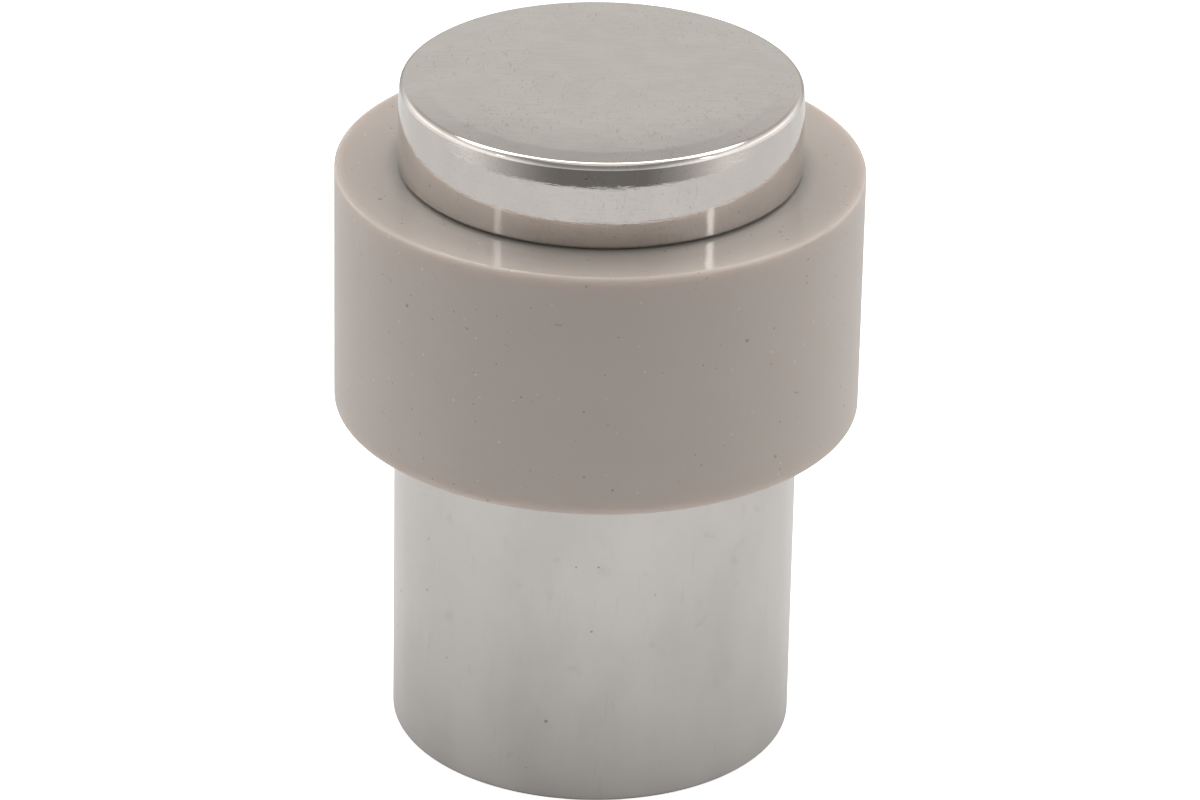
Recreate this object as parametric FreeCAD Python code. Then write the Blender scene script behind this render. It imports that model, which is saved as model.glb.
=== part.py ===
"""Floor door stop: a polished steel column with a rubber buffer ring, held down by a hidden screw.

Units are millimetres, and +Z is up. The origin is on the column's axis at floor level. The column
stands on the floor. The plug, the screw's shank and the anti-turn pin reach below floor level.
"""

import FreeCAD, Part
import math
import os

# Outside of the stop, from the floor up
TOTAL_HEIGHT = 50.0
BASE_RADIUS = 14.4
BASE_HEIGHT = 25.25
HEAD_RADIUS = 14.25
HEAD_HEIGHT = 6.5
RING_RADIUS = 18.7
HEAD_UNDERSIDE = TOTAL_HEIGHT - HEAD_HEIGHT

# Rounded and rolled edges
BASE_EDGE = 0.4
HEAD_EDGE = 0.5
HEAD_LOWER_EDGE = 0.25
HEAD_ROLL_HEIGHT = 1.9
HEAD_ROLL_IN = 0.12
HEAD_TOP_ROLL = 2.0
HEAD_TOP_FALL = 0.07
HEAD_ROLL_RADIUS = 10.0
RING_EDGE = 0.25
SMALL_CHAMFER = 0.4

# Spigot of the head, and the two rings on it
SPIGOT_RADIUS = 10.0
SPIGOT_GAP = 0.1
RING_BORE_GAP = 0.08
RING_END_GAP = 0.05
GROOVE_DEPTH = 1.4
GROOVE_WIDTH = 2.4
O_RING_GAP = 0.04
O_RING_WIDTH = 1.9
O_RING_CORNER = 0.6

# Screw thread between head and base: M14 x 1.5, with slack
PITCH = 1.5
PITCH_RADIUS = 6.5
FLANK_SLOPE = math.tan(math.radians(30))
AXIAL_SLACK = 0.12
STEM_ROOT = 5.95
STEM_CREST = 6.85
NUT_CREST = 6.2
NUT_ROOT = 7.05
STEM_TIP = 14.5
STEM_TIP_CHAMFER = 1.0
STEM_THREAD_LOW = 15.5
STEM_THREAD_LENGTH = 7.5
RELIEF_LENGTH = 2.0
RELIEF_RADIUS = 5.8
NUT_THREAD_LOW = STEM_THREAD_LOW - PITCH / 2
NUT_THREAD_HIGH = BASE_HEIGHT - 1.2
NUT_END_CHAMFER = 0.6
SINK = 0.1

# Inside of the base
RECESS_RADIUS = 12.4
RECESS_DEPTH = 1.0
WEB_TOP = 10.0
MOUTH_CHAMFER = 0.5
SCREW_HOLE_RADIUS = 2.3

# Fixings
GASKET_RADIUS = 12.3
GASKET_HOLE_RADIUS = 6.0
PIN_OFFSET = 8.5
PIN_SEAT_RADIUS = 1.75
PIN_SEAT_DEPTH = 6.0
PIN_RADIUS = 1.5
PIN_REACH = 4.0
PIN_HOLE_SPARE = 0.3
GASKET_PIN_HOLE_RADIUS = 2.1
WASHER_RADIUS = 4.5
WASHER_HOLE_RADIUS = 2.2
WASHER_THICKNESS = 0.8
SCREW_LENGTH = 40.0
SCREW_CREST = 2.0
SCREW_ROOT = 1.3
SCREW_SHANK = 1.45
SCREW_PITCH = 1.8
SCREW_CREST_WIDTH = 0.15
SCREW_ROOT_WIDTH = 0.75
SCREW_THREAD_TOP = -3.0
SCREW_POINT_LENGTH = 3.5
SCREW_HEAD_RADIUS = 3.9
SCREW_HEAD_HEIGHT = 2.5
CROSS_LENGTH = 4.4
CROSS_WIDTH = 0.9
CROSS_DEPTH = 1.6
CROSS_FLOOR_SHARE = 0.5
PLUG_RADIUS = 3.0
PLUG_BORE_RADIUS = 2.08
PLUG_LENGTH = 30.0
PLUG_COLLAR_RADIUS = 4.3
PLUG_COLLAR_HEIGHT = 0.9
PLUG_NOSE = 0.6
PLUG_SLIT_WIDTH = 0.8
PLUG_SLIT_TOP = -7.0
PLUG_SLIT_BOTTOM = -27.0
PLUG_GROOVE_TOP = -9.0
PLUG_GROOVE_STEP = 4.0
PLUG_GROOVE_COUNT = 5
PLUG_GROOVE_DEPTH = 0.25
PLUG_GROOVE_WIDTH = 0.8

UP = FreeCAD.Vector(0, 0, 1)


def at(radius, height):
    """The point of the XZ half-plane at a radius and a height."""
    return FreeCAD.Vector(radius, 0, height)


def rounded_corner(before, corner, after, radius):
    """The arc of a radius that rounds a corner off, between the lines to the points beside it."""
    to_before = (before - corner).normalize()
    to_after = (after - corner).normalize()
    half_angle = to_before.getAngle(to_after) / 2
    reach = radius / math.tan(half_angle)
    inward = (to_before + to_after).normalize()
    centre = corner + inward * (radius / math.sin(half_angle))
    middle = centre - inward * radius
    return Part.Arc(corner + to_before * reach, middle, corner + to_after * reach)


def outline(corners):
    """A closed wire in the XZ plane. Each corner is (radius, height) or (radius, height, rounding)."""
    points = [at(corner[0], corner[1]) for corner in corners]
    starts = []
    ends = []
    arcs = []
    for index, corner in enumerate(corners):
        point = points[index]
        arc = None
        start = point
        end = point
        if len(corner) == 3:
            after = points[(index + 1) % len(points)]
            arc = rounded_corner(points[index - 1], point, after, corner[2])
            start = arc.StartPoint
            end = arc.EndPoint
        starts.append(start)
        ends.append(end)
        arcs.append(arc)
    edges = []
    for index, arc in enumerate(arcs):
        if arc is not None:
            edges.append(arc.toShape())
        following = starts[(index + 1) % len(points)]
        edges.append(Part.LineSegment(ends[index], following).toShape())
    return Part.Wire(edges)


def turned(corners):
    """The solid that an outline sweeps once round the Z axis."""
    return Part.Face(outline(corners)).revolve(FreeCAD.Vector(0, 0, 0), UP, 360)


def cylinder(radius, low, high, x=0.0):
    """A cylinder along Z between two heights."""
    return Part.makeCylinder(radius, high - low, FreeCAD.Vector(x, 0, low))


def thread(pitch, low, length, inner, outer, inner_width, outer_width):
    """A helical ridge that is inner_width wide at its inner radius and outer_width at its outer one."""
    section = Part.makePolygon(
        [
            at(inner, -inner_width / 2),
            at(outer, -outer_width / 2),
            at(outer, outer_width / 2),
            at(inner, inner_width / 2),
            at(inner, -inner_width / 2),
        ]
    )
    helix = Part.Wire(Part.makeHelix(pitch, length, inner))
    ridge = helix.makePipeShell([section], True, True)
    ridge.translate(at(0, low))
    return ridge


def stem_width(radius):
    """How wide the ridge of the head's thread is along the axis, at a radius."""
    return PITCH / 2 - AXIAL_SLACK + 2 * (PITCH_RADIUS - radius) * FLANK_SLOPE


def nut_width(radius):
    """How wide the ridge of the base's thread is along the axis, at a radius."""
    return PITCH / 2 - AXIAL_SLACK + 2 * (radius - PITCH_RADIUS) * FLANK_SLOPE


def groove_middle():
    """The height of the middle of the O-ring's groove, halfway up the buffer ring."""
    return (BASE_HEIGHT + HEAD_UNDERSIDE) / 2


def stem_thread():
    """The ridge of the head's thread, chamfered at the tip and at the run-out."""
    inner = STEM_ROOT - SINK
    ridge = thread(
        PITCH,
        STEM_THREAD_LOW,
        STEM_THREAD_LENGTH,
        inner,
        STEM_CREST,
        stem_width(inner),
        stem_width(STEM_CREST),
    )
    low = STEM_THREAD_LOW - PITCH / 2
    high = STEM_THREAD_LOW + STEM_THREAD_LENGTH + PITCH / 2
    limits = turned(
        [
            (0, low),
            (STEM_ROOT, low),
            (STEM_CREST + SINK, low + STEM_TIP_CHAMFER),
            (STEM_CREST + SINK, high - STEM_TIP_CHAMFER),
            (STEM_ROOT, high),
            (0, high),
        ]
    )
    return ridge.common(limits)


def make_head():
    """The turned steel head: the disc, the spigot through the buffer ring and the threaded stem."""
    shoulder = BASE_HEIGHT + SPIGOT_GAP
    relief_low = shoulder - RELIEF_LENGTH
    groove_low = groove_middle() - GROOVE_WIDTH / 2
    groove_high = groove_middle() + GROOVE_WIDTH / 2
    roll_start = TOTAL_HEIGHT - HEAD_ROLL_HEIGHT
    blank = turned(
        [
            (0, STEM_TIP),
            (STEM_ROOT - STEM_TIP_CHAMFER, STEM_TIP),
            (STEM_ROOT, STEM_TIP + STEM_TIP_CHAMFER),
            (STEM_ROOT, relief_low),
            (RELIEF_RADIUS, relief_low),
            (RELIEF_RADIUS, shoulder),
            (SPIGOT_RADIUS - SMALL_CHAMFER, shoulder),
            (SPIGOT_RADIUS, shoulder + SMALL_CHAMFER),
            (SPIGOT_RADIUS, groove_low),
            (SPIGOT_RADIUS - GROOVE_DEPTH, groove_low),
            (SPIGOT_RADIUS - GROOVE_DEPTH, groove_high),
            (SPIGOT_RADIUS, groove_high),
            (SPIGOT_RADIUS, HEAD_UNDERSIDE),
            (HEAD_RADIUS, HEAD_UNDERSIDE, HEAD_LOWER_EDGE),
            (HEAD_RADIUS, roll_start, HEAD_ROLL_RADIUS),
            (HEAD_RADIUS - HEAD_ROLL_IN, TOTAL_HEIGHT - HEAD_TOP_FALL, HEAD_EDGE),
            (HEAD_RADIUS - HEAD_TOP_ROLL, TOTAL_HEIGHT, HEAD_ROLL_RADIUS),
            (0, TOTAL_HEIGHT),
        ]
    )
    return blank.fuse(stem_thread())


def make_buffer_ring():
    """The elastomer ring that the door meets, loose on the spigot by a running clearance."""
    bore = SPIGOT_RADIUS + RING_BORE_GAP
    low = BASE_HEIGHT + RING_END_GAP
    high = HEAD_UNDERSIDE - RING_END_GAP
    return turned(
        [
            (bore, low + SMALL_CHAMFER),
            (bore + SMALL_CHAMFER, low),
            (RING_RADIUS, low, RING_EDGE),
            (RING_RADIUS, high, RING_EDGE),
            (bore + SMALL_CHAMFER, high),
            (bore, high - SMALL_CHAMFER),
        ]
    )


def make_retaining_o_ring():
    """The O-ring in the spigot's groove, squeezed to an oval section between the groove and the ring."""
    inner = SPIGOT_RADIUS - GROOVE_DEPTH + O_RING_GAP
    outer = SPIGOT_RADIUS + RING_BORE_GAP - O_RING_GAP
    low = groove_middle() - O_RING_WIDTH / 2
    high = groove_middle() + O_RING_WIDTH / 2
    return turned(
        [
            (inner, low, O_RING_CORNER),
            (outer, low, O_RING_CORNER),
            (outer, high, O_RING_CORNER),
            (inner, high, O_RING_CORNER),
        ]
    )


def nut_thread():
    """The ridge of the base's thread, half a pitch from the stem's, chamfered at both ends."""
    outer = NUT_ROOT + SINK
    ridge = thread(
        PITCH,
        NUT_THREAD_LOW,
        NUT_THREAD_HIGH - NUT_THREAD_LOW,
        NUT_CREST,
        outer,
        nut_width(NUT_CREST),
        nut_width(outer),
    )
    low = NUT_THREAD_LOW - PITCH / 2
    high = NUT_THREAD_HIGH + PITCH / 4
    limits = turned(
        [
            (NUT_CREST - SINK, low + NUT_END_CHAMFER),
            (NUT_ROOT, low),
            (outer + SINK, low),
            (outer + SINK, high),
            (NUT_ROOT, high),
            (NUT_CREST - SINK, high - NUT_END_CHAMFER),
        ]
    )
    return ridge.common(limits)


def make_base_body():
    """The column: threaded at the top, with a web for the screw, and a recess under its foot."""
    blank = turned(
        [
            (SCREW_HOLE_RADIUS, RECESS_DEPTH),
            (RECESS_RADIUS, RECESS_DEPTH),
            (RECESS_RADIUS, 0),
            (BASE_RADIUS, 0, BASE_EDGE),
            (BASE_RADIUS, BASE_HEIGHT, BASE_EDGE),
            (NUT_ROOT + MOUTH_CHAMFER, BASE_HEIGHT),
            (NUT_ROOT, BASE_HEIGHT - MOUTH_CHAMFER),
            (NUT_ROOT, WEB_TOP),
            (SCREW_HOLE_RADIUS, WEB_TOP),
        ]
    )
    pin_hole_top = RECESS_DEPTH + PIN_SEAT_DEPTH + PIN_HOLE_SPARE
    pin_hole = cylinder(PIN_SEAT_RADIUS, 0, pin_hole_top, PIN_OFFSET)
    return blank.cut(pin_hole).fuse(nut_thread())


def make_base_gasket():
    """The rubber pad in the recess under the foot, flush with the steel rim."""
    pad = turned(
        [
            (GASKET_HOLE_RADIUS, 0),
            (GASKET_RADIUS, 0),
            (GASKET_RADIUS, RECESS_DEPTH),
            (GASKET_HOLE_RADIUS, RECESS_DEPTH),
        ]
    )
    return pad.cut(cylinder(GASKET_PIN_HOLE_RADIUS, 0, RECESS_DEPTH, PIN_OFFSET))


def make_anti_turn_pin():
    """The stepped pin: the thick end is pressed into the base, the thin end goes into the floor."""
    seat_top = RECESS_DEPTH + PIN_SEAT_DEPTH
    pin = turned(
        [
            (0, -PIN_REACH),
            (PIN_RADIUS - SMALL_CHAMFER, -PIN_REACH),
            (PIN_RADIUS, SMALL_CHAMFER - PIN_REACH),
            (PIN_RADIUS, RECESS_DEPTH),
            (PIN_SEAT_RADIUS, RECESS_DEPTH),
            (PIN_SEAT_RADIUS, seat_top - SMALL_CHAMFER),
            (PIN_SEAT_RADIUS - SMALL_CHAMFER, seat_top),
            (0, seat_top),
        ]
    )
    pin.translate(at(PIN_OFFSET, 0))
    return pin


def make_screw_washer():
    """The flat washer between the web of the base and the screw's head."""
    top = WEB_TOP + WASHER_THICKNESS
    edge = WASHER_THICKNESS / 8
    return turned(
        [
            (WASHER_HOLE_RADIUS, WEB_TOP),
            (WASHER_RADIUS, WEB_TOP, edge),
            (WASHER_RADIUS, top, edge),
            (WASHER_HOLE_RADIUS, top),
        ]
    )


def cross_recess(top):
    """The four-way recess in the screw's head, narrower at its floor than at its mouth."""
    mouth = CROSS_LENGTH / 2
    floor = mouth * CROSS_FLOOR_SHARE
    section = Part.makePolygon(
        [
            at(-mouth, top + SINK),
            at(mouth, top + SINK),
            at(floor, top - CROSS_DEPTH),
            at(-floor, top - CROSS_DEPTH),
            at(-mouth, top + SINK),
        ]
    )
    slot = Part.Face(section).extrude(FreeCAD.Vector(0, CROSS_WIDTH, 0))
    slot.translate(FreeCAD.Vector(0, -CROSS_WIDTH / 2, 0))
    crossing = slot.copy()
    crossing.rotate(FreeCAD.Vector(0, 0, 0), UP, 90)
    return slot.fuse(crossing)


def make_fixing_screw():
    """The pan-head wood screw: head, plain shank, thread and point."""
    seat = WEB_TOP + WASHER_THICKNESS
    top = seat + SCREW_HEAD_HEIGHT
    tip = seat - SCREW_LENGTH
    point_top = tip + SCREW_POINT_LENGTH
    blank = turned(
        [
            (0, tip),
            (SCREW_ROOT, point_top),
            (SCREW_ROOT, SCREW_THREAD_TOP),
            (SCREW_SHANK, SCREW_THREAD_TOP + SMALL_CHAMFER),
            (SCREW_SHANK, seat),
            (SCREW_HEAD_RADIUS, seat),
            (SCREW_HEAD_RADIUS, top, SCREW_HEAD_HEIGHT * 0.6),
            (0, top),
        ]
    )
    ridge = thread(
        SCREW_PITCH,
        point_top - SCREW_PITCH / 2,
        SCREW_THREAD_TOP - point_top,
        SCREW_ROOT - SINK,
        SCREW_CREST,
        SCREW_ROOT_WIDTH,
        SCREW_CREST_WIDTH,
    )
    return blank.cut(cross_recess(top)).fuse(ridge)


def plug_groove(top):
    """One shallow grip groove round the plug, as the ring to cut away."""
    floor = PLUG_RADIUS - PLUG_GROOVE_DEPTH
    low = top - PLUG_GROOVE_WIDTH
    return cylinder(PLUG_RADIUS + SINK, low, top).cut(cylinder(floor, low, top))


def make_floor_plug():
    """The nylon plug: a collar on the floor, grip grooves, and a slit that lets it expand."""
    plug = turned(
        [
            (PLUG_BORE_RADIUS, -PLUG_LENGTH),
            (PLUG_RADIUS - PLUG_NOSE, -PLUG_LENGTH),
            (PLUG_RADIUS, PLUG_NOSE - PLUG_LENGTH),
            (PLUG_RADIUS, 0),
            (PLUG_COLLAR_RADIUS, 0),
            (PLUG_COLLAR_RADIUS, PLUG_COLLAR_HEIGHT),
            (PLUG_BORE_RADIUS, PLUG_COLLAR_HEIGHT),
        ]
    )
    for index in range(PLUG_GROOVE_COUNT):
        plug = plug.cut(plug_groove(PLUG_GROOVE_TOP - index * PLUG_GROOVE_STEP))
    across = 2 * (PLUG_RADIUS + SINK)
    corner = FreeCAD.Vector(-across / 2, -PLUG_SLIT_WIDTH / 2, PLUG_SLIT_BOTTOM)
    height = PLUG_SLIT_TOP - PLUG_SLIT_BOTTOM
    return plug.cut(Part.makeBox(across, PLUG_SLIT_WIDTH, height, corner))


PARTS = {
    "head": make_head,
    "buffer_ring": make_buffer_ring,
    "retaining_o_ring": make_retaining_o_ring,
    "base_body": make_base_body,
    "base_gasket": make_base_gasket,
    "anti_turn_pin": make_anti_turn_pin,
    "screw_washer": make_screw_washer,
    "fixing_screw": make_fixing_screw,
    "floor_plug": make_floor_plug,
}

os.makedirs("parts", exist_ok=True)
for name, make in PARTS.items():
    shape = make()
    if len(shape.Solids) != 1 or not shape.isValid():
        raise ValueError(f"{name} is not one valid solid")
    shape.exportStep(f"parts/{name}.step")
    print(name, round(shape.Volume, 1), "mm3")
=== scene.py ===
import math

import bpy
from mathutils import Matrix, Vector


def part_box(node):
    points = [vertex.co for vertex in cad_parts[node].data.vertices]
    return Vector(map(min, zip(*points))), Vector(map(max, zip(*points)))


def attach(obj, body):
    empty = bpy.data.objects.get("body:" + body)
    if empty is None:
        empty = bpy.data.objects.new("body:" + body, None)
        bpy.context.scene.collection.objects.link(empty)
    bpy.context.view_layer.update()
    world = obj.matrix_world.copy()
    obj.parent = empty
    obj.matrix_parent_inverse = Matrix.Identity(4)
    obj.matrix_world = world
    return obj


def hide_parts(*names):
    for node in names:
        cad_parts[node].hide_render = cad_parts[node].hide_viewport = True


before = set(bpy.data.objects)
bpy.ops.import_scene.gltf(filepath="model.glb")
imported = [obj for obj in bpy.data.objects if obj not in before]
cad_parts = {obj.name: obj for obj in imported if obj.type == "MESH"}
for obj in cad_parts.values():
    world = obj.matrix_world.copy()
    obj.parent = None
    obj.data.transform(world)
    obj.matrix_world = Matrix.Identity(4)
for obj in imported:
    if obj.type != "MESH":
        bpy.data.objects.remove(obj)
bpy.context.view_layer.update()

MM = 0.001

# ---------------------------------------------------------------- how fine the meshes are

SEGMENTS = 192
ARC_STEPS = 7
RIDGE_STEPS_PER_TURN = 96
SHARP_EDGE = math.radians(30)

# A point this near the axis, in mm, lies on it. A corner this near straight, in radians, is none.
ON_AXIS = 1e-6
STRAIGHT = 1e-4

# ---------------------------------------------------------------- sizes, in mm, from the CAD nodes


def size_of(node):
    """(outer radius, lowest height, highest height) of a turned CAD node, in mm."""
    low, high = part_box(node)
    return high.x / MM, low.z / MM, high.z / MM


HEAD_R, HEAD_TIP, TOP = size_of("head")
RING_R, RING_LOW, RING_HIGH = size_of("buffer_ring")
BASE_R, FLOOR, BASE_TOP = size_of("base_body")
OR_R, OR_LOW, OR_HIGH = size_of("retaining_o_ring")
GASKET_R = size_of("base_gasket")[0]

# ---------------------------------------------------------------- sizes inside the nodes, in mm

# A corner with no rounding of its own gets CORNER, which the CAD does not have. The rest are the CAD's.
CORNER = 0.03
CHAMFER = 0.4

STEM_R = 5.95
STEM_CHAMFER = 1.0
RELIEF_R = 5.8
RELIEF_HEIGHT = 2.0
SPIGOT_R = 10.0
SHOULDER = BASE_TOP + 0.1
GROOVE_R = 8.6
GROOVE_HALF = 1.2
GROOVE_MID = (OR_LOW + OR_HIGH) / 2
UNDERSIDE = RING_HIGH + 0.05

RING_BORE = 10.08
RING_EDGE = 0.25
OR_BORE = 8.64
OR_EDGE = 0.6

BASE_EDGE = 0.4
MOUTH_R = 7.05
MOUTH_CHAMFER = 0.5
WEB_TOP = 10.0
SCREW_HOLE_R = 2.3
RECESS_R = GASKET_R + 0.1
RECESS_HEIGHT = 1.0

PITCH = 1.5
THREAD_SINK = 0.1

# The seen threads thin out over THREAD_RUN_OUT turns, down to THINNEST_RIDGE of their height.
THREAD_RUN_OUT = 0.6
THINNEST_RIDGE = 0.02

# ---------------------------------------------------------------- the head's rim and crown, in mm

# As in the CAD, but here the rim is 0.14 mm lower and the crown's edge 0.08, so the top is a little crowned.
HEAD_EDGE = 0.25
WALL_TOP = TOP - 1.9
RIM_LEAN = 0.12
RIM_HEIGHT = TOP - 0.21
RIM_EDGE = 0.5
CROWN_START_R = HEAD_R - 2.0
CROWN_START = TOP - 0.08
CROWN_TOP_R = 9.9
EASY_BEND = 10.0
CROWN_BEND = 120.0

# ---------------------------------------------------------------- turned shapes


def rounded(corners):
    """Points and outward normals of a closed outline that runs anticlockwise in (radius, height).

    Each corner is (radius, height), or (radius, height, rounding).
    """
    count = len(corners)
    out = []
    for i, corner in enumerate(corners):
        p = Vector(corner[:2])
        before = (Vector(corners[i - 1][:2]) - p).normalized()
        after = (Vector(corners[(i + 1) % count][:2]) - p).normalized()
        if p.x < ON_AXIS:
            flat = after if after.x > before.x else before
            out.append((p, Vector((0, 1 if flat == before else -1))))
            continue
        r = corner[2] if len(corner) > 2 else CORNER
        n_in = Vector((-before.y, before.x))
        n_out = Vector((after.y, -after.x))
        half = before.angle(after) / 2
        if half > math.pi / 2 - STRAIGHT:
            out.append((p, n_out))
            continue
        reach = r / math.tan(half)
        centre = p + (before + after).normalized() * (r / math.sin(half))
        start = p + before * reach
        convex = n_in.x * n_out.y - n_in.y * n_out.x > 0
        sign = 1 if convex else -1
        first = math.atan2(*((start - centre) * sign).yx)
        turn = math.pi - 2 * half
        for k in range(ARC_STEPS + 1):
            a = first + sign * turn * k / ARC_STEPS
            n = Vector((math.cos(a), math.sin(a)))
            out.append((centre + n * r * sign, n))
    return out


def mesh_object(name, verts, faces, normals=None):
    """A smooth mesh object in the scene. Without normals, edges sharper than SHARP_EDGE stay sharp."""
    mesh = bpy.data.meshes.new(name)
    mesh.from_pydata(verts, [], faces)
    mesh.polygons.foreach_set("use_smooth", [True] * len(mesh.polygons))
    if normals:
        mesh.normals_split_custom_set_from_vertices(normals)
    else:
        mesh.set_sharp_from_angle(angle=SHARP_EDGE)
    obj = bpy.data.objects.new(name, mesh)
    bpy.context.scene.collection.objects.link(obj)
    return obj


def lathe(name, outline):
    """The solid that a rounded outline sweeps round Z, with exact normals. Sizes in mm."""
    verts, normals, faces, rows = [], [], [], []
    for p, n in outline:
        if p.x < ON_AXIS:
            rows.append([len(verts)] * SEGMENTS)
            verts.append((0, 0, p.y * MM))
            normals.append((0, 0, n.y))
            continue
        rows.append(list(range(len(verts), len(verts) + SEGMENTS)))
        for j in range(SEGMENTS):
            a = 2 * math.pi * j / SEGMENTS
            verts.append((p.x * math.cos(a) * MM, p.x * math.sin(a) * MM, p.y * MM))
            normals.append((n.x * math.cos(a), n.x * math.sin(a), n.y))
    for i, row in enumerate(rows):
        above = rows[(i + 1) % len(rows)]
        if row[0] == row[1] and above[0] == above[1]:
            continue
        for j in range(SEGMENTS):
            k = (j + 1) % SEGMENTS
            corners = [row[j], row[k], above[k], above[j]]
            faces.append([v for m, v in enumerate(corners) if v not in corners[:m]])
    return mesh_object(name, verts, faces, normals)


def ridge(name, start, turns, root, crest, root_width, crest_width):
    """A closed helical thread ridge that thins out at both ends. Sizes in mm.

    Root and crest are radii. The crest is nearer the axis than the root on an inside thread.
    """
    steps = int(turns * RIDGE_STEPS_PER_TURN)
    verts, faces = [], []
    for i in range(steps + 1):
        t = turns * i / steps
        grow = min(1.0, t / THREAD_RUN_OUT, (turns - t) / THREAD_RUN_OUT)
        grow = max(grow, THINNEST_RIDGE)
        tip = root + (crest - root) * grow
        half_tip = (root_width + (crest_width - root_width) * grow) / 2
        half_root = root_width / 2
        a = 2 * math.pi * t
        z = start + PITCH * t
        for r, dz in ((root, -half_root), (tip, -half_tip), (tip, half_tip), (root, half_root)):
            verts.append((r * math.cos(a) * MM, r * math.sin(a) * MM, (z + dz) * MM))
    inside = crest < root
    for i in range(steps):
        for k in range(4):
            a = i * 4 + k
            b = i * 4 + (k + 1) % 4
            quad = [a, a + 4, b + 4, b]
            faces.append(quad[::-1] if inside else quad)
    ends = [[0, 1, 2, 3], [steps * 4 + k for k in (3, 2, 1, 0)]]
    faces += [e[::-1] for e in ends] if inside else ends
    return mesh_object(name, verts, faces)


# ---------------------------------------------------------------- node trees

# The smallest speck's radius, as a share of the largest's.
SMALLEST_SPECK = 0.35


class Graph:
    """Short calls for building a node tree."""

    def __init__(self, owner):
        owner.use_nodes = True
        self.tree = owner.node_tree
        self.tree.nodes.clear()

    def node(self, kind, inputs=None, **props):
        n = self.tree.nodes.new(kind)
        for key, value in props.items():
            setattr(n, key, value)
        for key, value in (inputs or {}).items():
            self.feed(n.inputs[key], value)
        return n

    def feed(self, socket, value):
        """Links an output to the socket, or sets a fixed value there."""
        if isinstance(value, bpy.types.NodeSocket):
            self.tree.links.new(value, socket)
        else:
            socket.default_value = value

    def math(self, operation, a, b=0.0):
        return self.node("ShaderNodeMath", {0: a, 1: b}, operation=operation).outputs[0]

    def remap(self, value, low, high, out_low=0.0, out_high=1.0, smooth=True):
        """Goes from out_low to out_high while the value goes from low to high, and stays level outside."""
        kind = "SMOOTHSTEP" if smooth else "LINEAR"
        keys = {"Value": value, 1: low, 2: high, 3: out_low, 4: out_high}
        return self.node("ShaderNodeMapRange", keys, interpolation_type=kind).outputs[0]

    def mix(self, factor, a, b):
        """A colour that goes from a to b with the factor."""
        return self.node("ShaderNodeMix", {0: factor, 6: a, 7: b}, data_type="RGBA").outputs[2]

    def blend(self, factor, a, b):
        """A number that goes from a to b with the factor."""
        return self.node("ShaderNodeMix", {0: factor, 2: a, 3: b}, data_type="FLOAT").outputs[0]

    def position(self, scale=(1, 1, 1)):
        """Object coordinates in mm, stretched by scale."""
        source = self.node("ShaderNodeTexCoord").outputs["Object"]
        factor = [s / MM for s in scale]
        return self.node("ShaderNodeVectorMath", {0: source, 1: factor}, operation="MULTIPLY").outputs[0]

    def from_axis(self):
        """The distance from the Z axis, in mm."""
        place = self.node("ShaderNodeSeparateXYZ", {0: self.position()})
        x, y = place.outputs[0], place.outputs[1]
        squares = self.math("ADD", self.math("MULTIPLY", x, x), self.math("MULTIPLY", y, y))
        return self.math("SQRT", squares)

    def noise(self, scale, detail=2.0, rough=0.5, stretch=(1, 1, 1), distortion=0.0):
        """Cloudy noise from 0 to 1, about 1 / scale mm in size."""
        keys = {
            "Vector": self.position(stretch),
            "Scale": scale,
            "Detail": detail,
            "Roughness": rough,
            "Distortion": distortion,
        }
        return self.node("ShaderNodeTexNoise", keys).outputs[0]

    def specks(self, cell, radius, keep, seed):
        """1 inside small round specks scattered over the surface, 0 elsewhere. Sizes in mm.

        There is one in each cell, keep is the share of them that is kept, and the seed moves the pattern.
        """
        keys = {0: self.position(), 1: (seed, seed * 1.7, seed * 0.6)}
        moved = self.node("ShaderNodeVectorMath", keys, operation="ADD").outputs[0]
        cells = self.node("ShaderNodeTexVoronoi", {"Vector": moved, "Scale": 1.0 / cell, "Randomness": 1.0})
        pick = self.node("ShaderNodeSeparateColor", {0: cells.outputs["Color"]})
        kept = self.math("LESS_THAN", pick.outputs[0], keep)
        smallest = SMALLEST_SPECK * radius / cell
        size = self.remap(pick.outputs[1], 0.0, 1.0, smallest, radius / cell, smooth=False)
        inside = self.math("LESS_THAN", cells.outputs["Distance"], size)
        return self.math("MULTIPLY", kept, inside)

    def bump(self, height, depth, strength=1.0, normal=None):
        """A bumped normal. The depth is in mm."""
        keys = {"Height": height, "Distance": depth * MM, "Strength": strength}
        if normal is not None:
            keys["Normal"] = normal
        return self.node("ShaderNodeBump", keys).outputs[0]

    def surface(self, inputs):
        shader = self.node("ShaderNodeBsdfPrincipled", inputs)
        self.node("ShaderNodeOutputMaterial", {"Surface": shader.outputs[0]})


def new_graph(name):
    material = bpy.data.materials.new(name)
    return material, Graph(material)


# ---------------------------------------------------------------- materials

MOTTLE_LIGHTER = 1.18
MOTTLE_DARKER = 0.86


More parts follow.
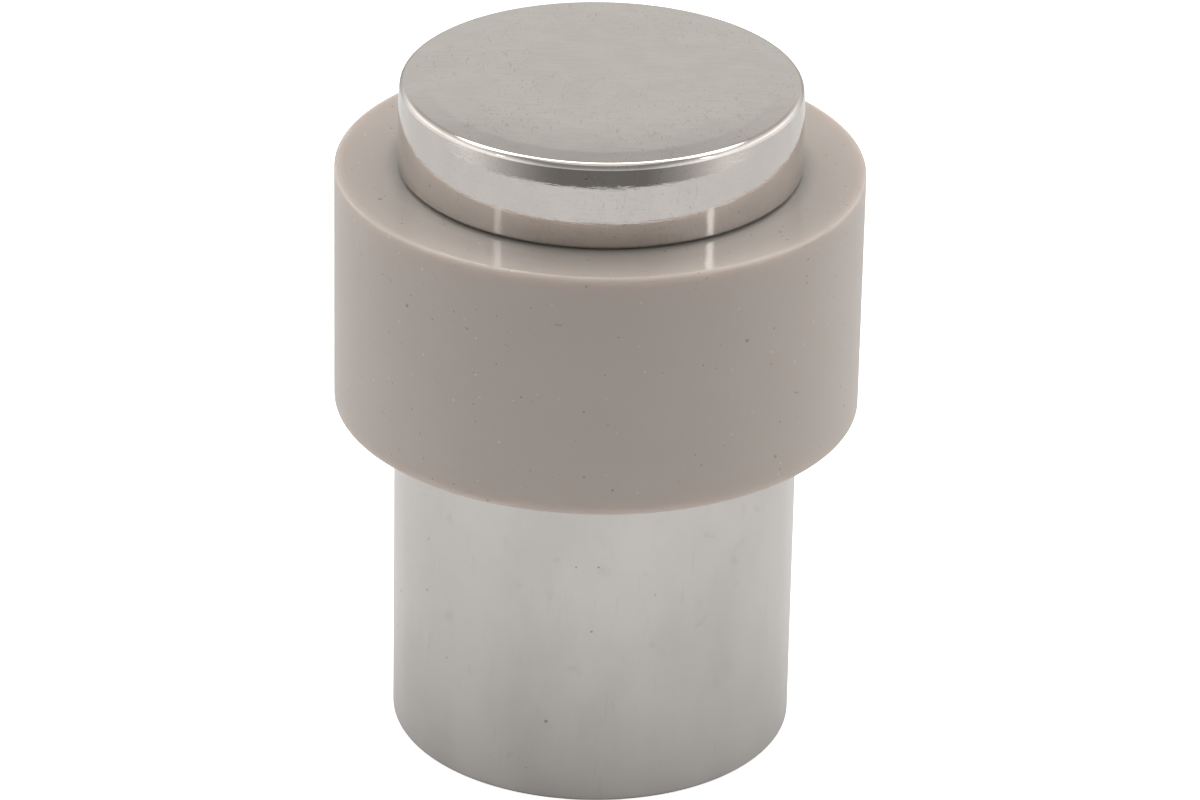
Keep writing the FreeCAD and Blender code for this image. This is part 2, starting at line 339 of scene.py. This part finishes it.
def mirror_steel():
    """Mirror-polished steel: slightly wavy, with faint swirls, rubbed marks and small specks."""
    darker = (0.622, 0.592, 0.564, 1)
    lighter = (0.648, 0.617, 0.588, 1)
    rubbed = (0.36, 0.33, 0.30, 1)
    dirt = (0.20, 0.18, 0.16, 1)
    m, g = new_graph("mirror_steel")
    wavy = g.noise(0.33, detail=2.0, rough=0.45)
    ragged = g.noise(0.9, detail=4.0, rough=0.66, stretch=(0.36, 0.36, 2.2))
    fine = g.noise(9.0, detail=2.0, rough=0.5)
    scratch = g.noise(1.0, detail=2.0, rough=0.5, stretch=(0.35, 9.0, 9.0), distortion=0.6)
    swirl = g.remap(scratch, 0.56, 0.6)
    normal = g.bump(wavy, depth=0.010)
    normal = g.bump(ragged, depth=0.0065, normal=normal)
    normal = g.bump(fine, depth=0.0002, normal=normal)
    tone = g.remap(g.noise(0.5, detail=3.0, rough=0.55, stretch=(1, 1, 0.5)), 0.35, 0.65)
    colour = g.mix(tone, darker, lighter)
    stroke = g.remap(g.noise(1.0, detail=2.0, rough=0.5, stretch=(3.4, 1.2, 1.0), distortion=1.8), 0.62, 0.66)
    where = g.remap(g.noise(0.10, detail=1.0, rough=0.5), 0.36, 0.56)
    marks = g.math("MULTIPLY", stroke, g.math("MULTIPLY", where, 0.40))
    marks = g.math("MAXIMUM", marks, g.math("MULTIPLY", swirl, 0.12))
    colour = g.mix(marks, colour, rubbed)
    specks = g.specks(cell=2.2, radius=0.09, keep=0.4, seed=5.5)
    colour = g.mix(g.math("MULTIPLY", specks, 0.6), colour, dirt)
    roughness = g.math("ADD", 0.045, g.math("MULTIPLY", swirl, 0.05))
    g.surface({"Base Color": colour, "Metallic": 1.0, "Roughness": roughness, "Normal": normal})
    return m


def polished_steel():
    """Polished steel, softer than a mirror: upright streaks, lighter upright bands of painted reflection,
    faint blotches, scratches and dark pits.
    """
    darker = (0.590, 0.567, 0.546, 1)
    lighter = (0.650, 0.626, 0.604, 1)
    painted_reflection_colour = (0.700, 0.676, 0.654, 1)
    stain = (0.40, 0.38, 0.36, 1)
    scratched = (0.42, 0.40, 0.38, 1)
    pitted = (0.16, 0.14, 0.12, 1)
    m, g = new_graph("polished_steel")
    lines = g.noise(1.0, detail=3.0, rough=0.6, stretch=(1.4, 1.4, 0.16))
    cloud = g.noise(0.15, detail=4.0, rough=0.6, stretch=(1, 1, 0.7))
    # Painted reflection: broad lighter upright bands, standing in for bright bands that the steel reflects.
    painted_reflection_bands = g.remap(g.noise(0.17, detail=1.0, rough=0.4, stretch=(1, 1, 0.05)), 0.36, 0.64)
    blotch = g.remap(g.noise(0.55, detail=4.0, rough=0.65), 0.60, 0.72)
    wavy = g.noise(0.20, detail=1.0, rough=0.4, stretch=(1, 1, 0.5))
    scratch = g.noise(1.0, detail=2.0, rough=0.5, stretch=(5.0, 5.0, 0.5), distortion=0.9)
    scratch = g.remap(scratch, 0.66, 0.70)
    large_pits = g.specks(cell=3.4, radius=0.20, keep=0.34, seed=7.3)
    small_pits = g.specks(cell=1.5, radius=0.09, keep=0.50, seed=3.1)
    pits = g.math("MAXIMUM", large_pits, small_pits)
    normal = g.bump(wavy, depth=0.006)
    normal = g.bump(lines, depth=0.00010, normal=normal)
    normal = g.bump(pits, depth=0.02, strength=0.6, normal=normal)
    tone = g.math("ADD", g.math("MULTIPLY", lines, 0.12), g.math("MULTIPLY", cloud, 0.88))
    tone = g.remap(tone, 0.34, 0.66)
    colour = g.mix(tone, darker, lighter)
    colour = g.mix(g.math("MULTIPLY", painted_reflection_bands, 0.35), colour, painted_reflection_colour)
    colour = g.mix(g.math("MULTIPLY", blotch, 0.22), colour, stain)
    colour = g.mix(g.math("MULTIPLY", scratch, 0.16), colour, scratched)
    colour = g.mix(g.math("MULTIPLY", pits, 0.6), colour, pitted)
    roughness = g.remap(cloud, 0.3, 0.7, 0.17, 0.24)
    g.surface({"Base Color": colour, "Metallic": 1.0, "Roughness": roughness, "Normal": normal})
    return m


def grey_elastomer():
    """Light warm-grey moulded elastomer: dark and light specks, short hairs, and painted shade on its top
    next to the head, where the head shades it.
    """
    darker = (0.412, 0.372, 0.344, 1)
    lighter = (0.440, 0.399, 0.369, 1)
    dark_speck = (0.13, 0.105, 0.085, 1)
    light_speck = (0.62, 0.58, 0.54, 1)
    hair_colour = (0.14, 0.11, 0.09, 1)
    painted_shade_colour = (0.13, 0.12, 0.11, 1)
    # The painted shade fades out between these two distances from the axis, in mm.
    shade_from = 14.2
    shade_to = 15.6
    m, g = new_graph("grey_elastomer")
    facing = g.node("ShaderNodeNewGeometry").outputs["True Normal"]
    upward = g.node("ShaderNodeSeparateXYZ", {0: facing}).outputs[2]
    top = g.remap(upward, 0.7, 0.95)
    small_dark = g.specks(cell=0.75, radius=0.092, keep=0.50, seed=31.7)
    large_dark = g.specks(cell=2.3, radius=0.16, keep=0.34, seed=52.3)
    dark = g.math("MAXIMUM", small_dark, large_dark)
    light = g.specks(cell=0.80, radius=0.088, keep=0.50, seed=77.1)
    cloud = g.noise(0.12, detail=3.0, rough=0.5)
    colour = g.mix(cloud, darker, lighter)
    colour = g.mix(g.math("MULTIPLY", dark, 0.5), colour, dark_speck)
    strand = g.math("ABSOLUTE", g.math("SUBTRACT", g.noise(1.1, detail=0.0, rough=0.5), 0.5))
    patches = g.specks(cell=2.8, radius=0.50, keep=0.40, seed=14.9)
    hair = g.math("MULTIPLY", g.math("LESS_THAN", strand, 0.014), patches)
    colour = g.mix(g.math("MULTIPLY", hair, 0.40), colour, hair_colour)
    colour = g.mix(g.math("MULTIPLY", light, 0.65), colour, light_speck)
    # Painted shade: the top is darkened next to the head, as if the head shaded it.
    painted_shade = g.math("MULTIPLY", g.remap(g.from_axis(), shade_from, shade_to, 0.36, 0.07), top)
    colour = g.mix(painted_shade, colour, painted_shade_colour)
    roughness = g.math("SUBTRACT", 0.36, g.math("MULTIPLY", top, 0.24))
    skin = g.noise(0.8, detail=3.0, rough=0.5)
    normal = g.bump(skin, depth=0.006)
    normal = g.bump(g.math("ADD", dark, light), depth=0.03, strength=0.5, normal=normal)
    g.surface(
        {
            "Base Color": colour,
            "Roughness": roughness,
            "IOR": 1.5,
            "Subsurface Weight": 1.0,
            "Subsurface Radius": (1.0, 0.80, 0.70),
            "Subsurface Scale": 2.6 * MM,
            "Normal": normal,
        }
    )
    return m


def plain(name, colour, rough, metallic, grain, scale, stretch=(1, 1, 1)):
    """A lightly mottled finish, for the pieces that are hidden at rest. The grain's depth is in mm."""
    lighter = [min(1.0, c * MOTTLE_LIGHTER) for c in colour] + [1]
    darker = [c * MOTTLE_DARKER for c in colour] + [1]
    m, g = new_graph(name)
    mottle = g.noise(scale, detail=3.0, rough=0.55, stretch=stretch)
    g.surface(
        {
            "Base Color": g.mix(g.remap(mottle, 0.35, 0.65), darker, lighter),
            "Metallic": metallic,
            "Roughness": g.remap(mottle, 0.3, 0.7, rough * 0.9, rough * 1.1),
            "Normal": g.bump(mottle, depth=grain),
        }
    )
    return m


FINISH = {
    "mirror_steel": mirror_steel(),
    "polished_steel": polished_steel(),
    "grey_elastomer": grey_elastomer(),
    "black_rubber": plain(
        "black_rubber", (0.022, 0.022, 0.023), rough=0.55, metallic=0.0, grain=0.01, scale=4.0
    ),
    "pin_steel": plain(
        "pin_steel", (0.45, 0.45, 0.46), rough=0.28, metallic=1.0, grain=0.002, scale=3.0, stretch=(1, 1, 12)
    ),
    "zinc_steel": plain(
        "zinc_steel", (0.56, 0.57, 0.60), rough=0.3, metallic=1.0, grain=0.003, scale=1.5
    ),
    "grey_nylon": plain(
        "grey_nylon", (0.31, 0.32, 0.33), rough=0.45, metallic=0.0, grain=0.006, scale=2.5
    ),
}

# ---------------------------------------------------------------- pieces


def finish_piece(obj, node, body, slot):
    """Gives a new piece its finish and its body, and hides the CAD node that it stands for."""
    obj.data.materials.append(FINISH[slot])
    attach(obj, body)
    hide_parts(node)


head = lathe(
    "head_turned",
    rounded(
        [
            (0, HEAD_TIP),
            (STEM_R - STEM_CHAMFER, HEAD_TIP),
            (STEM_R, HEAD_TIP + STEM_CHAMFER),
            (STEM_R, SHOULDER - RELIEF_HEIGHT),
            (RELIEF_R, SHOULDER - RELIEF_HEIGHT),
            (RELIEF_R, SHOULDER),
            (SPIGOT_R - CHAMFER, SHOULDER),
            (SPIGOT_R, SHOULDER + CHAMFER),
            (SPIGOT_R, GROOVE_MID - GROOVE_HALF),
            (GROOVE_R, GROOVE_MID - GROOVE_HALF),
            (GROOVE_R, GROOVE_MID + GROOVE_HALF),
            (SPIGOT_R, GROOVE_MID + GROOVE_HALF),
            (SPIGOT_R, UNDERSIDE),
            (HEAD_R, UNDERSIDE, HEAD_EDGE),
            (HEAD_R, WALL_TOP, EASY_BEND),
            (HEAD_R - RIM_LEAN, RIM_HEIGHT, RIM_EDGE),
            (CROWN_START_R, CROWN_START, EASY_BEND),
            (CROWN_TOP_R, TOP, CROWN_BEND),
            (0, TOP),
        ]
    ),
)
finish_piece(head, "head", "head", "mirror_steel")

head_thread = ridge(
    "head_thread",
    start=15.5,
    turns=5.0,
    root=STEM_R - THREAD_SINK,
    crest=6.85,
    root_width=1.37,
    crest_width=0.23,
)
finish_piece(head_thread, "head", "head", "mirror_steel")

ring = lathe(
    "ring_moulded",
    rounded(
        [
            (RING_BORE + CHAMFER, RING_LOW),
            (RING_R, RING_LOW, RING_EDGE),
            (RING_R, RING_HIGH, RING_EDGE),
            (RING_BORE + CHAMFER, RING_HIGH),
            (RING_BORE, RING_HIGH - CHAMFER),
            (RING_BORE, RING_LOW + CHAMFER),
        ]
    ),
)
finish_piece(ring, "buffer_ring", "ring", "grey_elastomer")

o_ring = lathe(
    "o_ring_moulded",
    rounded(
        [
            (OR_BORE, OR_LOW, OR_EDGE),
            (OR_R, OR_LOW, OR_EDGE),
            (OR_R, OR_HIGH, OR_EDGE),
            (OR_BORE, OR_HIGH, OR_EDGE),
        ]
    ),
)
finish_piece(o_ring, "retaining_o_ring", "carrier", "black_rubber")

base = lathe(
    "base_turned",
    rounded(
        [
            (RECESS_R, FLOOR),
            (BASE_R, FLOOR, BASE_EDGE),
            (BASE_R, BASE_TOP, BASE_EDGE),
            (MOUTH_R + MOUTH_CHAMFER, BASE_TOP),
            (MOUTH_R, BASE_TOP - MOUTH_CHAMFER),
            (MOUTH_R, WEB_TOP),
            (SCREW_HOLE_R, WEB_TOP),
            (SCREW_HOLE_R, RECESS_HEIGHT),
            (RECESS_R, RECESS_HEIGHT),
        ]
    ),
)
finish_piece(base, "base_body", "base", "polished_steel")

base_thread = ridge(
    "base_thread",
    start=14.75,
    turns=6.2,
    root=MOUTH_R + THREAD_SINK,
    crest=6.2,
    root_width=1.38,
    crest_width=0.28,
)
finish_piece(base_thread, "base_body", "base", "polished_steel")

for node, slot in (
    ("base_gasket", "black_rubber"),
    ("anti_turn_pin", "pin_steel"),
    ("screw_washer", "zinc_steel"),
    ("fixing_screw", "zinc_steel"),
    ("floor_plug", "grey_nylon"),
):
    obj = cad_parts[node]
    obj.data.materials.clear()
    obj.data.materials.append(FINISH[slot])

# ---------------------------------------------------------------- floor, in metres

PLINTH_RADIUS = 0.161
PLINTH_BACK = 0.018
PLINTH_DEPTH = 0.1
FLOOR_GAP = 0.00002
PAPER = (0.655, 0.663, 0.675, 1)
LIFT_COLOUR = (1.0, 0.985, 0.97, 1)
FLOOR_LIFT = 0.86


def make_floor():
    """A plain pale round plinth, which hides the fixings as a floor does. The camera sees it as white."""
    place = (0, PLINTH_BACK, -FLOOR_GAP - PLINTH_DEPTH / 2)
    bpy.ops.mesh.primitive_cylinder_add(
        vertices=SEGMENTS, radius=PLINTH_RADIUS, depth=PLINTH_DEPTH, location=place
    )
    floor = bpy.context.object
    floor.name = "floor"
    m, g = new_graph("floor_paper")
    camera_ray = g.node("ShaderNodeLightPath").outputs["Is Camera Ray"]
    lift = g.blend(camera_ray, 0.0, FLOOR_LIFT)
    light = g.node("ShaderNodeEmission", {"Color": LIFT_COLOUR, "Strength": lift})
    paper = g.node("ShaderNodeBsdfDiffuse", {"Color": PAPER})
    both = g.node("ShaderNodeAddShader", {0: light.outputs[0], 1: paper.outputs[0]})
    g.node("ShaderNodeOutputMaterial", {"Surface": both.outputs[0]})
    floor.data.materials.append(m)


# ---------------------------------------------------------------- room light

ROOM_COLOUR = (1.0, 0.977, 0.950, 1)
WHITE = (1, 1, 1, 1)
CAMERA_LEVEL = 1.1
SOFT_BOX_LEVEL = 4.5
ZENITH_LEVEL = 0.95
UNDER_LEVEL = 0.46


def make_world():
    """A smooth room: brighter behind and at the sides than in front, with one soft box high at the back.

    x, y and z are the parts of a ray's direction, from -1 to 1. Y points to the back.
    """
    world = bpy.data.worlds.new("studio")
    bpy.context.scene.world = world
    g = Graph(world)
    ray = g.node("ShaderNodeSeparateXYZ", {0: g.node("ShaderNodeTexCoord").outputs["Generated"]})
    x, y, z = ray.outputs[0], ray.outputs[1], ray.outputs[2]

    # The walls: the back, the sides, and a brighter strip low down in front.
    back = g.remap(y, -0.1, 0.75, 0.44, 0.76)
    side = g.remap(g.math("ABSOLUTE", x), 0.36, 0.95, 0.0, 1.10)
    low = g.math("MULTIPLY", g.remap(z, 0.05, 0.24, 0.62, 0.0), g.remap(y, -0.3, 0.2, 1.0, 0.0))
    low = g.math("MULTIPLY", low, g.remap(z, -0.22, 0.0, 0.3, 1.0))
    level = g.math("ADD", g.math("ADD", back, side), low)

    # They are dimmer near the horizon and towards the ceiling.
    horizon = g.remap(z, 0.05, 0.30, 0.7, 1.0)
    ceiling = g.remap(z, 0.42, 0.54, 1.0, 0.74, smooth=False)
    level = g.math("MULTIPLY", level, g.math("MULTIPLY", horizon, ceiling))
    level = g.math("MAXIMUM", level, low)

    # Below the horizon, the front is dimmer still.
    under = g.math("MULTIPLY", g.remap(z, -0.28, -0.02, 1.0, 0.0), g.remap(y, -0.75, 0.1, 1.0, 0.0))
    level = g.math("MULTIPLY", level, g.blend(under, 1.0, UNDER_LEVEL))

    # The soft box hangs high at the back, with a weaker glow straight overhead.
    box = g.math("MULTIPLY", g.remap(z, 0.73, 0.80), g.remap(z, 0.90, 0.96, 1.0, 0.0))
    box = g.math("MULTIPLY", box, g.remap(y, 0.0, 0.25))
    zenith = g.remap(z, 0.88, 0.97, 0.0, ZENITH_LEVEL)
    level = g.math("ADD", level, g.math("MULTIPLY", box, SOFT_BOX_LEVEL))
    level = g.math("MAXIMUM", level, zenith)

    # The camera sees plain white behind the stop.
    camera_ray = g.node("ShaderNodeLightPath").outputs["Is Camera Ray"]
    strength = g.blend(camera_ray, level, CAMERA_LEVEL)
    colour = g.mix(camera_ray, ROOM_COLOUR, WHITE)
    background = g.node("ShaderNodeBackground", {"Color": colour, "Strength": strength})
    g.node("ShaderNodeOutputWorld", {"Surface": background.outputs[0]})


# ---------------------------------------------------------------- lamps, in metres and degrees

LAMP_COLOUR = (1, 0.985, 0.965)
LAMP_AIM = Vector((0, 0, 0.035))
LAMP_DISTANCE = 0.8


def lamp(name, azimuth, elevation, width, height, radiance):
    """A rectangular lamp aimed at the middle of the stop. The azimuth runs from the front, to the right."""
    a = math.radians(azimuth)
    e = math.radians(elevation)
    way = Vector((math.sin(a) * math.cos(e), -math.cos(a) * math.cos(e), math.sin(e)))
    data = bpy.data.lights.new(name, "AREA")
    data.shape = "RECTANGLE"
    data.size = width
    data.size_y = height
    data.energy = radiance * math.pi * width * height
    data.color = LAMP_COLOUR
    obj = bpy.data.objects.new(name, data)
    obj.location = LAMP_AIM + way * LAMP_DISTANCE
    obj.rotation_euler = (-way).to_track_quat("-Z", "Y").to_euler()
    bpy.context.scene.collection.objects.link(obj)


make_floor()
make_world()
lamp("strip_right", azimuth=65, elevation=30, width=0.055, height=0.26, radiance=5)
lamp("strip_left", azimuth=-59, elevation=27, width=0.050, height=0.12, radiance=2.4)

# ---------------------------------------------------------------- camera, fitted to the photograph's outline

CAMERA_AIM = Vector((0, 0, 0.02403))
CAMERA_DISTANCE = 0.4735
CAMERA_ELEVATION = math.radians(26.866)
CAMERA_ROLL = math.radians(1.1125)
SENSOR_WIDTH = 36
LENS = 198.54
SHIFT_X = 0.0036
SHIFT_Y = 0.0082


def make_camera():
    data = bpy.data.cameras.new("camera")
    data.sensor_width = SENSOR_WIDTH
    data.lens = LENS
    data.shift_x = SHIFT_X
    data.shift_y = SHIFT_Y
    data.clip_start = 0.01
    data.clip_end = 50
    camera = bpy.data.objects.new("camera", data)
    way = Vector((0, -math.cos(CAMERA_ELEVATION), math.sin(CAMERA_ELEVATION)))
    camera.location = CAMERA_AIM + CAMERA_DISTANCE * way
    look = (CAMERA_AIM - camera.location).to_track_quat("-Z", "Y").to_matrix().to_4x4()
    roll = Matrix.Rotation(CAMERA_ROLL, 4, "Z")
    camera.matrix_world = Matrix.Translation(camera.location) @ look @ roll
    bpy.context.scene.collection.objects.link(camera)
    bpy.context.scene.camera = camera


make_camera()
bpy.context.scene.view_settings.view_transform = "Standard"
